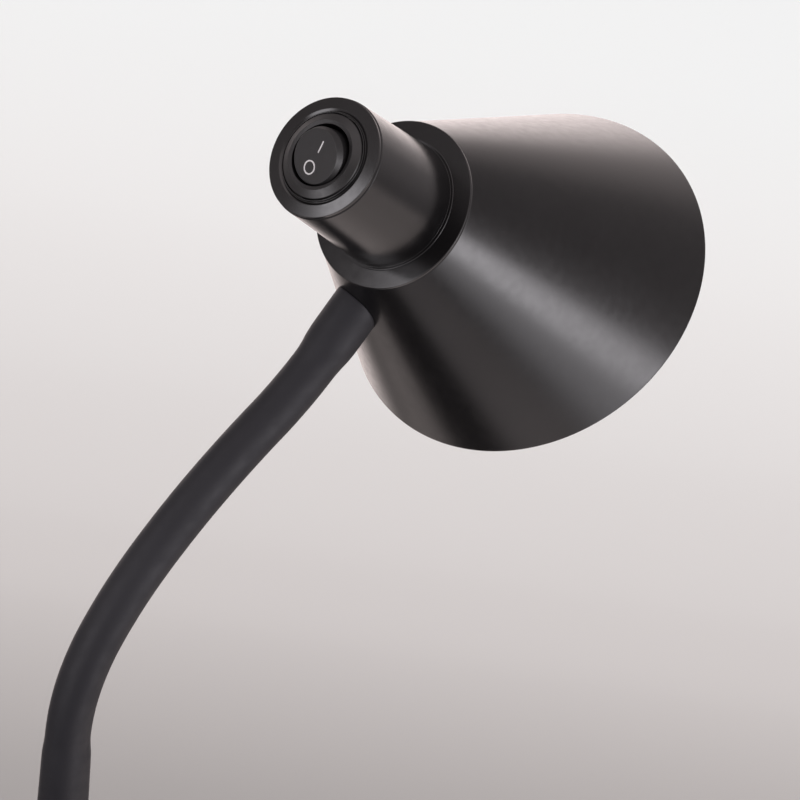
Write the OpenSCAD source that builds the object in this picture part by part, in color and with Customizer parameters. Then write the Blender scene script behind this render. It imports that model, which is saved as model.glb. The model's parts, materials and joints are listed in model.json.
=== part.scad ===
// Gooseneck desk lamp: round weighted base, fixed stem, short gooseneck in a
// silicone sleeve, and a conical head with a round rocker switch on its back.
// Origin: centre of the base on the table. +Z up, the head points towards +X.

/* [Base] */
// Diameter of the base
base_d = 160; // [150:1:180]
// Height of the base cover's top above the table
base_h = 17; // [17:1:20]
// Wall of the spun steel cover
cover_t = 1.2; // [1:0.1:1.4]

/* [Stem] */
// Height of the point where the gooseneck starts to bend
neck_z = 233; // [200:1:280]
// Outer diameter of the stem tube
stem_d = 14; // [13.8:0.1:14.4]

/* [Gooseneck] */
// Outer diameter of the silicone sleeve
sleeve_d = 12.4; // [12:0.1:12.8]
// Outer diameter of the steel spiral inside it
spiral_d = 9.4; // [9:0.1:9.4]
// Length of one section, from bending point to bending point
sec_l = 24; // [22:1:26]
// Height of the first bending point above the start of the bend
first_l = 10; // [9:0.5:12]
// Slope of the gooseneck above the first bending point
slope_1 = 70; // [68:1:73]
// Slope above the second bending point
slope_2 = 56; // [54:1:58]
// Slope above the third bending point
slope_3 = 45; // [43:1:48]
// Slope above the fourth bending point
slope_4 = 39; // [37:1:42]
// Slope above the fifth bending point
slope_5 = 40; // [38:1:43]

/* [Head] */
// How far the head points below the horizontal
head_dip = 41.4; // [41.4:0.1:41.4]
// Diameter of the housing at its back edge
house_d = 32.2; // [32.2:0.1:32.6]
// Diameter of the housing just above its foot
waist_d = 35; // [34.8:0.1:35.2]
// Diameter of the rim round the housing's foot, on the flange
foot_d = 36.8; // [36.4:0.1:37]
// Depth from the housing's back edge to the flange
flange_l = 35.4; // [35:0.1:36]
// Diameter of the flange
flange_d = 46.4; // [46.2:0.1:47]
// Thickness of the flange
flange_t = 0.9; // [0.8:0.1:1.4]
// Half angle of the shade's cone
cone_a = 22.1; // [22:0.1:22.3]
// Depth of the shade's mouth on the head's axis
mouth_l = 107.8; // [107:0.1:110]
// Slant of the mouth, shorter on the neck's side
mouth_a = 9.8; // [9:0.1:10.5]
// Sheet thickness of the shade
shade_t = 1.0; // [0.9:0.1:1.1]
// Depth of the neck's fitting along the head's axis
fit_l = 49.6; // [49.4:0.1:50]
// Last bending point's height above the shade's wall
last_l = 16.4; // [16.4:0.1:17]

/* [Switch] */
// Diameter of the switch's bezel
bezel_d = 23; // [23:0.1:23.2]
// Half of the rocker's swing
rock_a = 11; // [10:0.5:11.5]

/* [Bulb] */
// Diameter of the bulb's globe
globe_d = 40; // [38:1:40]

/* [Hidden] */
$fn = 96;
eps = 0.02;

base_r = base_d / 2;
stem_r = stem_d / 2;
stem_ri = 5.85;
slv_r = sleeve_d / 2;
spi_r = spiral_d / 2;
spi_ri = 3.0;
slv_ri = spi_r + 0.1;
// spheres round each bending point that part one section from the next
ball_o = 7.6;
ball_i = 7.4;

// slopes of the sections: the first one stands upright in the lower fitting,
// the last one meets the head's axis at a right angle
slope_6 = 90 - head_dip;
A = [90, slope_1, slope_2, slope_3, slope_4, slope_5, slope_6];
// bending points in the plane of the lamp, each at the end of a straight section
function bp(k) = k == 1 ? [0, neck_z + first_l]
  : bp(k - 1) + sec_l * [cos(A[k - 1]), sin(A[k - 1])];

// head: depth of the cone's apex behind the housing's edge, and radii
apex_l = -20.8;
tan_c = tan(cone_a);
function cone_r(l) = (l - apex_l) * tan_c;
// distance of the last bending point from the head's axis
piv_x = cone_r(fit_l) + last_l;
hd = [cos(head_dip), -sin(head_dip)];
he = [-sin(head_dip), -cos(head_dip)];
head_p = bp(6) - fit_l * hd - piv_x * he;
hole_r = 14.6;
// depth of the shade's end wall, on the flange, and of its inner face
wall_l = flange_l + flange_t;
seat_l = wall_l + shade_t;

// ---------------------------------------------------------------- helpers
module ring(r, ri, h) {
  difference() {
    cylinder(r = r, h = h);
    translate([0, 0, -1]) cylinder(r = ri, h = h + 2);
  }
}
// tube of length h whose upper end is hollowed for the next section's ball
module cup_tube(r, ri, h) {
  difference() {
    ring(r, ri, h);
    translate([0, 0, h]) sphere(r = ball_o);
  }
}
// the end below z = 0 that turns inside the ball round a bending point
module ball_stub(r, ri) {
  intersection() {
    translate([0, 0, -ball_i]) ring(r, ri, ball_i);
    sphere(r = ball_i);
  }
}
// one section of spiral or sleeve, from bending point k to the next
module section(k, r, ri) {
  p = bp(k);
  translate([p[0], 0, p[1]]) rotate([0, 90 - A[k], 0]) union() {
    cup_tube(r, ri, sec_l);
    ball_stub(r, ri);
  }
}
// head frame: +Z along the head's axis to the mouth, +X to the neck's side
module head_frame() {
  translate([head_p[0], 0, head_p[1]]) rotate([0, 90 + head_dip, 0]) children();
}
// fitting frame inside the head frame: +Z runs outward along the neck
module fit_frame() {
  translate([0, 0, fit_l]) rotate([0, 90, 0]) children();
}
// solid cone of the shade's outer surface, moved outward by g
module cone_solid(g) {
  l0 = -15;
  l1 = 130;
  translate([0, 0, l0])
    cylinder(r1 = cone_r(l0) + g, r2 = cone_r(l1) + g, h = l1 - l0, $fn = 180);
}

// ---------------------------------------------------------------- base
module foot_pad() color([0.06, 0.06, 0.06]) ring(74, 60, 2.5);

module base_plate() color([0.25, 0.25, 0.26]) translate([0, 0, 2.5]) difference() {
  cylinder(r = base_r - 2.5, h = 1.5);
  for (a = [30, 150, 270]) rotate([0, 0, a]) translate([45, 0, -1]) cylinder(r = 2.1, h = 4);
}

module base_plate_screws() color([0.7, 0.7, 0.72])
  for (a = [30, 150, 270]) rotate([0, 0, a]) translate([45, 0, 0]) difference() {
    union() {
      translate([0, 0, 0.7]) cylinder(r = 3.6, h = 1.8);
      translate([0, 0, 2.5]) cylinder(r = 2, h = 7.5);
    }
    translate([-2.2, -0.4, 0.2]) cube([4.4, 0.8, 1.3]);
    translate([-0.4, -2.2, 0.2]) cube([0.8, 4.4, 1.3]);
  }

module base_weight() color([0.2, 0.2, 0.2]) difference() {
  translate([0, 0, 4]) cylinder(r = base_r - 5.5, h = base_h - cover_t - 4, $fn = 180);
  translate([0, 0, 3]) cylinder(r = 5.1, h = 20);
  translate([0, 0, 3]) cylinder(r = 14, h = 8.8);
  translate([-base_r - 1, -4, 3]) cube([base_r + 1, 8, 9]);
  for (a = [30, 150, 270]) rotate([0, 0, a]) translate([45, 0, 3]) cylinder(r = 2, h = 8);
}

module base_cover() color([0.07, 0.07, 0.075]) difference() {
  rotate_extrude($fn = 180) difference() {
    union() {
      translate([0, 1.5]) square([base_r, base_h - 6.5]);
      translate([0, 1.5]) square([base_r - 5, base_h - 1.5]);
      translate([base_r - 5, base_h - 5]) circle(r = 5, $fn = 96);
    }
    translate([-1, 0]) square([base_r - cover_t + 1, base_h - 5]);
    translate([-1, 0]) square([base_r - 4, base_h - cover_t]);
    translate([base_r - 5, base_h - 5]) circle(r = 5 - cover_t, $fn = 96);
    translate([-1, 0]) square([6.05, 40]);
  }
  translate([-base_r - 2, 0, 8.5]) rotate([0, 90, 0]) cylinder(r = 4.6, h = 6);
}

module cord_inlet_bush() color([0.05, 0.05, 0.05])
  translate([-base_r, 0, 8.5]) rotate([0, 90, 0]) difference() {
    union() {
      translate([0, 0, -2]) cylinder(r1 = 5.2, r2 = 6.2, h = 1);
      translate([0, 0, -1.02]) cylinder(r = 6.2, h = 0.9);
      translate([0, 0, -0.2]) cylinder(r = 4.5, h = 5.2);
    }
    translate([0, 0, -3]) cylinder(r = 3.2, h = 12);
  }

module stem_collar() color([0.07, 0.07, 0.075]) translate([0, 0, base_h]) difference() {
  union() {
    cylinder(r = 11, h = 2.2);
    translate([0, 0, 2.2]) cylinder(r1 = 11, r2 = 10.2, h = 0.8);
  }
  translate([0, 0, -1]) cylinder(r = 5.1, h = 6);
}

module stem_nipple() color([0.75, 0.7, 0.5]) translate([0, 0, 5]) ring(5, 3.75, 27);

module stem_washer() color([0.7, 0.7, 0.7]) translate([0, 0, 10.8]) ring(9.5, 5.1, 1);

module stem_nut() color([0.75, 0.75, 0.75]) translate([0, 0, 5.8]) difference() {
  cylinder(r = 8.08, h = 5, $fn = 6);
  translate([0, 0, -1]) cylinder(r = 5, h = 8);
}

module stem_plug() color([0.5, 0.5, 0.5]) translate([0, 0, base_h + 3]) ring(stem_ri, 5, 14);

module stem_tube() color([0.07, 0.07, 0.075])
  translate([0, 0, base_h + 3]) ring(stem_r, stem_ri, neck_z - 28 - base_h - 3);

// ---------------------------------------------------------------- gooseneck
module neck_lower_nipple() color([0.6, 0.6, 0.62]) translate([0, 0, neck_z]) difference() {
  union() {
    translate([0, 0, -40]) cylinder(r = 5.83, h = 12.2);
    translate([0, 0, -28]) cylinder(r1 = 6.1, r2 = 5.75, h = 25);
  }
  translate([0, 0, -41]) cylinder(r = 3.2, h = 60);
  translate([0, 0, -14]) cylinder(r = spi_r + 0.02, h = 20);
}

module neck_spiral_1() color([0.55, 0.55, 0.57])
  translate([0, 0, neck_z - 14]) cup_tube(spi_r, spi_ri, 14 + first_l);

module neck_sleeve_1() color([0.1, 0.1, 0.105]) translate([0, 0, neck_z]) difference() {
  union() {
    translate([0, 0, -28]) cylinder(r1 = 7.05, r2 = 6.68, h = 24);
    translate([0, 0, -4]) cylinder(r1 = 6.68, r2 = slv_r, h = 4);
    cylinder(r = slv_r, h = first_l);
  }
  translate([0, 0, -29]) cylinder(r1 = 6.134, r2 = 5.77, h = 26);
  translate([0, 0, -4]) cylinder(r = slv_ri, h = 6 + first_l);
  translate([0, 0, first_l]) sphere(r = ball_o);
}

module spiral(k) color([0.55, 0.55, 0.57]) section(k, spi_r, spi_ri);
module sleeve(k) color([0.1, 0.1, 0.105]) section(k, slv_r, slv_ri);

// last section: from the sixth bending point into the head's socket
module neck_spiral_7() color([0.55, 0.55, 0.57]) head_frame() fit_frame()
  translate([0, 0, piv_x]) rotate([180, 0, 0]) union() {
    ring(spi_r, spi_ri, last_l - 6.5);
    ball_stub(spi_r, spi_ri);
  }

module neck_sleeve_7() color([0.1, 0.1, 0.105]) head_frame() difference() {
  fit_frame() translate([0, 0, cone_r(fit_l)]) union() {
    translate([0, 0, -5]) cylinder(r = 6.95, h = 14);
    translate([0, 0, 9]) cylinder(r1 = 6.95, r2 = 6.72, h = 4);
    translate([0, 0, 13]) cylinder(r1 = 6.72, r2 = slv_r, h = last_l - 13);
    translate([0, 0, last_l]) intersection() {
      cylinder(r = slv_r, h = ball_i);
      sphere(r = ball_i);
    }
  }
  cone_solid(0.05);
  fit_frame() translate([0, 0, cone_r(fit_l)]) {
    translate([0, 0, -6]) cylinder(r = 5.82, h = 17.5);
    cylinder(r = slv_ri, h = 40);
  }
}

// ---------------------------------------------------------------- neck to head
module neck_socket() color([0.6, 0.6, 0.62]) head_frame() difference() {
  union() {
    difference() {
      fit_frame() translate([0, 0, cone_r(fit_l) - 5]) cylinder(r = 5.8, h = 16);
      cone_solid(0.02);
    }
    fit_frame() translate([0, 0, 19.3]) cylinder(r = 5, h = cone_r(fit_l) - 19.3 + 4);
  }
  fit_frame() translate([0, 0, 10]) cylinder(r = spi_ri + 0.1, h = 40);
  fit_frame() translate([0, 0, cone_r(fit_l) + 6.5]) cylinder(r = spi_r + 0.02, h = 10);
}

module neck_saddle_washer() color([0.65, 0.65, 0.66]) head_frame() difference() {
  intersection() {
    fit_frame() translate([0, 0, 23.6]) cylinder(r = 7.6, h = 12);
    cone_solid(-shade_t / cos(cone_a) - 0.03);
  }
  fit_frame() translate([0, 0, 20]) cylinder(r = 5.1, h = 20);
}

module neck_nut() color([0.75, 0.75, 0.75]) head_frame() fit_frame()
  translate([0, 0, 20]) difference() {
    cylinder(r = 8.08, h = 3.6, $fn = 6);
    translate([0, 0, -1]) cylinder(r = 5, h = 8);
  }

// ---------------------------------------------------------------- head shells
module shade() color([0.08, 0.08, 0.085]) head_frame() difference() {
  rotate_extrude($fn = 240) difference() {
    polygon([
      [hole_r, wall_l], [22.9, wall_l], [cone_r(wall_l + 0.2), wall_l + 0.2],
      [cone_r(flange_l + 3), flange_l + 3], [cone_r(125), 125],
      [hole_r, 125]
    ]);
    polygon([
      [0, seat_l], [22.3, seat_l],
      [cone_r(flange_l + 3.7) - shade_t / cos(cone_a), flange_l + 3.7],
      [cone_r(130) - shade_t / cos(cone_a), 130], [0, 130]
    ]);
  }
  translate([0, 0, mouth_l]) rotate([0, mouth_a, 0]) translate([-90, -90, 0]) cube([180, 180, 80]);
  fit_frame() translate([0, 0, 15]) cylinder(r = 5.15, h = 30);
  for (a = [60, 180, 300]) rotate([0, 0, a]) translate([18.5, 0, flange_l]) cylinder(r = 1.6, h = 4);
}

module flange() color([0.07, 0.07, 0.075]) head_frame() union() {
  translate([0, 0, flange_l]) difference() {
    union() {
      cylinder(r1 = flange_d / 2 - 0.25, r2 = flange_d / 2, h = 0.25);
      translate([0, 0, 0.25]) cylinder(r = flange_d / 2, h = flange_t - 0.25);
    }
    translate([0, 0, -1]) cylinder(r = hole_r, h = 4);
  }
  for (a = [60, 180, 300]) rotate([0, 0, a]) translate([18.5, 0, wall_l - 0.1]) cylinder(r = 1.5, h = 6.6);
}

module flange_nuts() color([0.75, 0.75, 0.75]) head_frame()
  for (a = [60, 180, 300]) rotate([0, 0, a]) translate([18.5, 0, seat_l + 1]) difference() {
    cylinder(r = 3.17, h = 2.4, $fn = 6);
    translate([0, 0, -1]) cylinder(r = 1.5, h = 5);
  }

module housing_tube() color([0.07, 0.07, 0.075]) head_frame() rotate_extrude($fn = 180) polygon([
  [14.9, 1.05], [house_d / 2 + 0.05, 1.05], [house_d / 2 + 0.2, 1.2], [waist_d / 2, flange_l - 1.1],
  [waist_d / 2 + 0.12, flange_l - 0.8], [waist_d / 2 + 0.4, flange_l - 0.6],
  [foot_d / 2, flange_l - 0.6], [foot_d / 2, flange_l], [14.9, flange_l]
]);

module end_cap() color([0.07, 0.07, 0.075]) head_frame() rotate_extrude($fn = 180) polygon([
  [10.05, 0.9], [11.7, 0.9], [11.7, -0.75], [12.0, -0.75], [12.1, -0.1], [12.3, -0.08],
  [12.95, -0.45], [house_d / 2 - 0.12, -0.02], [house_d / 2, 0.1], [house_d / 2, 1.0],
  [14.85, 1.0], [14.85, 7], [13.4, 7], [13.4, 2.4], [10.05, 2.4]
]);

// ---------------------------------------------------------------- switch
module switch_body() color([0.09, 0.09, 0.09]) head_frame() difference() {
  union() {
    translate([0, 0, -2]) cylinder(r1 = 9.4, r2 = bezel_d / 2 - 0.2, h = 1.05);
    translate([0, 0, -0.95]) cylinder(r1 = bezel_d / 2 - 0.2, r2 = bezel_d / 2, h = 0.3);
    translate([0, 0, -0.65]) cylinder(r = bezel_d / 2, h = 1.55);
    translate([0, 0, 0.8]) cylinder(r = 9.9, h = 13.2);
    for (s = [-1, 1]) translate([-3, s * 9.7 - 0.75, 3]) cube([6, 1.5, 5]);
  }
  translate([0, 0, -3]) cylinder(r = 8.35, h = 15.8);
  translate([0, 0, -2.01]) cylinder(r1 = 9.42, r2 = 8.35, h = 0.26);
  translate([0, -9.2, 0.6]) rotate([-90, 0, 0]) cylinder(r = 1.25, h = 18.4);
  translate([-0.45, -2.45, 12]) cube([0.9, 4.9, 4]);
  translate([5.05, -2.45, 12]) cube([0.9, 4.9, 4]);
}

module switch_common_terminal() color([0.8, 0.65, 0.35]) head_frame() union() {
  translate([-0.4, -2.4, 11.05]) cube([0.8, 4.8, 9.95]);
}

module switch_load_terminal() color([0.8, 0.65, 0.35]) head_frame() union() {
  translate([5.1, -2.4, 12.2]) cube([0.8, 4.8, 8.8]);
  translate([5.3, 0, 11.9]) cylinder(r = 1.1, h = 0.4);
}

// frame of the contact strip: origin on its knife edge
module contact_seesaw() color([0.8, 0.65, 0.35]) head_frame()
  translate([0, 0, 11]) rotate([0, rock_a / 2, 0]) union() {
    translate([-6.5, -2, -0.8]) cube([13, 4, 0.6]);
    translate([5.3, 0, -0.25]) cylinder(r = 1, h = 0.55);
  }

// frame of the rocker: origin on its pivot, turned to the O position
module rocker_frame() {
  head_frame() translate([0, 0, 0.6]) rotate([0, -rock_a, 0]) children();
}

module rocker() color([0.08, 0.08, 0.08]) rocker_frame() difference() {
  union() {
    translate([0, 0, -3.85]) cylinder(r1 = 6.98, r2 = 7.15, h = 0.15);
    translate([0, 0, -3.7]) cylinder(r1 = 7.15, r2 = 7.45, h = 2.2);
    translate([0, 0, -1.5]) cylinder(r = 7.45, h = 4.1);
    translate([0, -9.0, 0]) rotate([-90, 0, 0]) cylinder(r = 1.2, h = 18);
    translate([0, 0, 2.5]) cylinder(r = 2.4, h = 3.9);
  }
  translate([0, 0, 1]) cylinder(r = 1.35, h = 8);
}

module rocker_spring() color([0.7, 0.7, 0.72]) rocker_frame()
  for (i = [0:4]) translate([0, 0, 1.2 + 0.8 * i]) rotate_extrude() translate([0.95, 0]) circle(r = 0.2, $fn = 24);

module rocker_plunger() color([0.8, 0.8, 0.78]) rocker_frame() union() {
  translate([0, 0, 4.9]) cylinder(r = 1.25, h = 3.15);
  translate([0, 0, 8.05]) sphere(r = 1.25);
}

module link_wires() color([0.6, 0.1, 0.1]) head_frame() {
  translate([6.8, 0, 19]) cylinder(r = 0.85, h = 14);
  translate([-6.8, 0, 27.5]) cylinder(r = 0.85, h = 5.5);
}

// ---------------------------------------------------------------- lampholder
module holder_bracket() color([0.7, 0.7, 0.72]) head_frame() difference() {
  union() {
    translate([0, 0, seat_l]) ring(20.6, hole_r, 1);
    for (s = [-1, 1]) {
      translate([-3.5, s > 0 ? 13 : -14, 24]) cube([7, 1, seat_l - 24 + 1]);
      translate([-3.5, s > 0 ? 13 : -14.9, seat_l]) cube([7, 1.9, 1]);
    }
    translate([-3.5, -14, 24]) cube([7, 28, 1]);
    translate([0, 0, 24]) cylinder(r = 8.2, h = 1);
  }
  translate([0, 0, 20]) cylinder(r = 5.05, h = 8);
  translate([6.8, 0, 20]) cylinder(r = 1.1, h = 8);
  for (a = [60, 180, 300]) rotate([0, 0, a]) translate([18.5, 0, flange_l]) cylinder(r = 1.6, h = 8);
}

module holder_nipple() color([0.75, 0.7, 0.5]) head_frame() translate([0, 0, 22]) ring(5, 3.75, 7);

module holder_nut() color([0.75, 0.75, 0.75]) head_frame() translate([0, 0, 22]) rotate([0, 0, 30]) difference() {
  cylinder(r = 6.4, h = 2, $fn = 6);
  translate([0, 0, -1]) cylinder(r = 5, h = 5);
}

module lampholder_cap() color([0.12, 0.12, 0.12]) head_frame() difference() {
  translate([0, 0, 25]) cylinder(r = 12.4, h = 11);
  translate([0, 0, 27]) cylinder(r = 11.2, h = 10);
  translate([0, 0, 20]) cylinder(r = 5, h = 10);
  translate([6.8, 0, 20]) cylinder(r = 0.95, h = 10);
}

module lampholder_skirt() color([0.12, 0.12, 0.12]) head_frame() difference() {
  union() {
    translate([0, 0, 33]) cylinder(r = 11.15, h = 4);
    translate([0, 0, 36]) cylinder(r = 12.4, h = 18);
  }
  translate([0, 0, 32]) cylinder(r = 10.2, h = 20.5);
  translate([0, 0, 50]) cylinder(r = 8.2, h = 6);
}

module lampholder_insert() color([0.9, 0.88, 0.82]) head_frame() difference() {
  union() {
    translate([0, 0, 33]) cylinder(r = 10.1, h = 4);
    translate([0, 0, 37]) cylinder(r = 9.4, h = 15);
  }
  translate([0, 0, 35.6]) cylinder(r = 7.8, h = 20);
  translate([-2.1, -6.6, 34]) cube([4.2, 9.2, 3]);
}

module lampholder_shell() color([0.8, 0.65, 0.35]) head_frame() translate([0, 0, 37.5]) ring(7.75, 7.2, 14.5);

module lampholder_contact() color([0.8, 0.65, 0.35]) head_frame() union() {
  translate([-2, -6.5, 34]) cube([4, 9, 0.5]);
  translate([-2, -6.5, 34]) cube([4, 0.5, 1.9]);
}

// ---------------------------------------------------------------- bulb
module bulb_contact() color([0.15, 0.15, 0.16]) head_frame() union() {
  translate([0, 0, 34.6]) cylinder(r = 2, h = 1.2);
  translate([0, 0, 35.8]) cylinder(r1 = 3, r2 = 6.5, h = 2.2);
}

module bulb_screw_cap() color([0.78, 0.78, 0.8]) head_frame() translate([0, 0, 38]) difference() {
  cylinder(r = 6.95, h = 17);
  translate([0, 0, 0.4]) cylinder(r = 6.6, h = 18);
}

module bulb_collar() color([0.92, 0.92, 0.9]) head_frame() difference() {
  union() {
    translate([0, 0, 49]) cylinder(r = 6.55, h = 6);
    translate([0, 0, 55]) cylinder(r1 = 7.6, r2 = 13, h = 14);
  }
  translate([0, 0, 57]) cylinder(r1 = 6, r2 = 10.2, h = 9);
  translate([0, 0, 66]) cylinder(r = 10.2, h = 4);
  translate([0, 0, 48]) cylinder(r = 4, h = 12);
  translate([0, 0, 66]) cylinder(r = 10.6, h = 4);
}

module bulb_led_board() color([0.95, 0.95, 0.92]) head_frame() union() {
  translate([0, 0, 66]) cylinder(r = 10.6, h = 1.5);
  for (a = [0:60:300]) rotate([0, 0, a]) translate([5.6, -1.4, 67.4]) cube([2.8, 2.8, 0.8]);
}

module bulb_globe() color([0.97, 0.97, 0.94]) head_frame() difference() {
  translate([0, 0, 85]) sphere(r = globe_d / 2, $fn = 128);
  translate([0, 0, 85]) sphere(r = globe_d / 2 - 1.2, $fn = 128);
  translate([0, 0, 40]) cylinder(r = 30, h = 29.05);
}

// ---------------------------------------------------------------- assembly
foot_pad();
base_plate();
base_plate_screws();
base_weight();
base_cover();
cord_inlet_bush();
stem_collar();
stem_nipple();
stem_washer();
stem_nut();
stem_plug();
stem_tube();
neck_lower_nipple();
neck_spiral_1();
neck_sleeve_1();
spiral(1);  // neck_spiral_2
sleeve(1);  // neck_sleeve_2
spiral(2);  // neck_spiral_3
sleeve(2);  // neck_sleeve_3
spiral(3);  // neck_spiral_4
sleeve(3);  // neck_sleeve_4
spiral(4);  // neck_spiral_5
sleeve(4);  // neck_sleeve_5
spiral(5);  // neck_spiral_6
sleeve(5);  // neck_sleeve_6
neck_spiral_7();
neck_sleeve_7();
neck_socket();
neck_saddle_washer();
neck_nut();
shade();
flange();
flange_nuts();
housing_tube();
end_cap();
switch_body();
switch_common_terminal();
switch_load_terminal();
contact_seesaw();
rocker();
rocker_spring();
rocker_plunger();
link_wires();
holder_bracket();
holder_nipple();
holder_nut();
lampholder_cap();
lampholder_skirt();
lampholder_insert();
lampholder_shell();
lampholder_contact();
bulb_contact();
bulb_screw_cap();
bulb_collar();
bulb_led_board();
bulb_globe();
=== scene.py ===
import json
import math

import bmesh
import bpy
import numpy as np
from mathutils import Matrix, Vector


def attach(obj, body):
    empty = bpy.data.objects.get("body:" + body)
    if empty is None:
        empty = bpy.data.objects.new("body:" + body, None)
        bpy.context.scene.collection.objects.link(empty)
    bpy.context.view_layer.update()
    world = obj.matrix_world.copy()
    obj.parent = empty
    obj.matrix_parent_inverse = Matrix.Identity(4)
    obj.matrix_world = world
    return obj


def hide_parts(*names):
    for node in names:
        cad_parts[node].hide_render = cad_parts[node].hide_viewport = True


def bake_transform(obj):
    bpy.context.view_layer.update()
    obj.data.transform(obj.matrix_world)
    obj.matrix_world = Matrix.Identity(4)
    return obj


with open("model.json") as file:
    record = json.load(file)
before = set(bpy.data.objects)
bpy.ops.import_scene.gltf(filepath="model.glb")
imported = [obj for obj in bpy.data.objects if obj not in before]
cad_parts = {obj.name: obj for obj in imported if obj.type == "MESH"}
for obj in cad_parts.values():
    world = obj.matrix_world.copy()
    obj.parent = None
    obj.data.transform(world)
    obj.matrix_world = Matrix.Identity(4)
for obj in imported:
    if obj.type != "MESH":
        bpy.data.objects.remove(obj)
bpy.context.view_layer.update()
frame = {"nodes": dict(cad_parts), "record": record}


scene = bpy.context.scene
col = scene.collection
NODES = frame["nodes"]

# ------------------------------------------------------------------ frames, in metres
MM = 0.001
DIP = math.radians(41.4)
HD = Vector((math.cos(DIP), 0, -math.sin(DIP)))    # head's axis, towards the mouth
HE = Vector((-math.sin(DIP), 0, -math.cos(DIP)))   # across it, towards the neck
HP = Vector((68.18083, 0, 399.49660)) * MM         # housing's back edge on the axis
HEAD = Matrix((
    (HE.x, 0, HD.x, HP.x), (HE.y, 1, HD.y, HP.y), (HE.z, 0, HD.z, HP.z), (0, 0, 0, 1)))
WORLD = Matrix.Identity(4)
TAN = math.tan(math.radians(22.1))
COS = math.cos(math.radians(22.1))
APEX = -20.8
MOUTH_L, MOUTH_A = 107.8, math.radians(9.8)
FLANGE_L, FLANGE_T, SHADE_T = 35.4, 0.9, 1.0
WALL_L = FLANGE_L + FLANGE_T
SEAT_L = WALL_L + SHADE_T
FIT_L = 49.6


def cone_r(l):
    return (l - APEX) * TAN


# ------------------------------------------------------------------ mesh helpers
def corners(pts, closed=True, n=6, support=0.12):
    """Profile with rounded corners: pts are (r, l) or (r, l, radius). Each straight
    run gets a support point near both of its ends, so flat faces shade flat."""
    P = [(Vector((p[0], p[1])), p[2] if len(p) > 2 else 0.0) for p in pts]
    m = len(P)
    out = []
    for i in range(m):
        c, rad = P[i]
        if not closed and i in (0, m - 1):
            out.append([c])
            continue
        a, b = P[i - 1][0], P[(i + 1) % m][0]
        u, v = (a - c), (b - c)
        lu, lv = u.length, v.length
        u, v = u / lu, v / lv
        ang = u.angle(v)
        if rad <= 0 or ang > math.pi - 1e-3:
            out.append([c])
            continue
        t = min(rad / math.tan(ang / 2), 0.49 * lu, 0.49 * lv)
        rr = t * math.tan(ang / 2)
        s, e = c + u * t, c + v * t
        centre = c + (u + v).normalized() * (rr / math.sin(ang / 2))
        sa, ea = s - centre, e - centre
        tot = sa.angle(ea)
        k = max(2, int(math.ceil(n * tot / (math.pi / 2))))
        sgn = 1 if sa.x * ea.y - sa.y * ea.x > 0 else -1
        arc = []
        for j in range(k + 1):
            w = sgn * tot * j / k
            arc.append(centre + Vector((sa.x * math.cos(w) - sa.y * math.sin(w),
                                        sa.x * math.sin(w) + sa.y * math.cos(w))))
        out.append(arc)
    res = []
    for i in range(m):
        res += out[i]
        if i == m - 1 and not closed:
            break
        a, b = out[i][-1], out[(i + 1) % m][0]
        d = (b - a).length
        if d > 5 * support:
            res.append(a + (b - a) * (support / d))
            res.append(b - (b - a) * (support / d))
    return [(p.x, p.y) for p in res]


def finish_mesh(name, bm, body, sharp=40.0, merge=1e-7):
    bmesh.ops.remove_doubles(bm, verts=bm.verts, dist=merge)
    bmesh.ops.dissolve_degenerate(bm, dist=1e-8, edges=bm.edges)
    bmesh.ops.recalc_face_normals(bm, faces=bm.faces)
    me = bpy.data.meshes.new(name)
    bm.to_mesh(me)
    bm.free()
    return finish_object(name, me, body, sharp)


def finish_object(name, me, body, sharp=40.0):
    me.polygons.foreach_set("use_smooth", [True] * len(me.polygons))
    me.set_sharp_from_angle(angle=math.radians(sharp))
    ob = bpy.data.objects.new(name, me)
    col.objects.link(ob)
    if body:
        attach(ob, body)
    return ob


def put(M, p):
    return M @ (Vector(p) * MM)


def lathe_bm(bm, prof, M, seg=144, closed=True, warp=None, mat=None, start=0.0):
    """Revolves (r, l) points, in mm, round the frame's Z."""
    rows = []
    for r, l in prof:
        if r < 1e-6:
            rows.append([bm.verts.new(put(M, (0, 0, l)))])
            continue
        row = []
        for k in range(seg):
            a = start + 2 * math.pi * k / seg
            p = (r * math.cos(a), r * math.sin(a), l)
            if warp:
                p = warp(p)
            row.append(bm.verts.new(put(M, p)))
        rows.append(row)
    m = len(rows)
    for i in range(m if closed else m - 1):
        A, B = rows[i], rows[(i + 1) % m]
        mi = mat[i] if mat else 0
        for k in range(seg):
            k2 = (k + 1) % seg
            if len(A) == 1 and len(B) == 1:
                break
            if len(A) == 1:
                f = (A[0], B[k], B[k2])
            elif len(B) == 1:
                f = (A[k], A[k2], B[0])
            else:
                f = (A[k], A[k2], B[k2], B[k])
            bm.faces.new(f).material_index = mi
    return rows


def lathe(name, prof, M, body, seg=144, closed=True, sharp=40.0, warp=None, mat=None):
    bm = bmesh.new()
    lathe_bm(bm, prof, M, seg, closed, warp, mat)
    return finish_mesh(name, bm, body, sharp)


def cut_with(ob, cutters):
    """Cuts closed meshes out of ob and keeps the result as its mesh."""
    for c in cutters:
        mod = ob.modifiers.new("cut", "BOOLEAN")
        mod.operation = "DIFFERENCE"
        mod.solver = "EXACT"
        mod.object = c
    bpy.context.view_layer.update()
    dg = bpy.context.evaluated_depsgraph_get()
    me = bpy.data.meshes.new_from_object(ob.evaluated_get(dg))
    ob.modifiers.clear()
    ob.data = me
    for c in cutters:
        bpy.data.objects.remove(c)
    return ob


def cutter(M, r, z0, z1, seg=64):
    bm = bmesh.new()
    lathe_bm(bm, [(0, z0), (r, z0), (r, z1), (0, z1)], M, seg, closed=False)
    return finish_mesh("cutter", bm, None)


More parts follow.
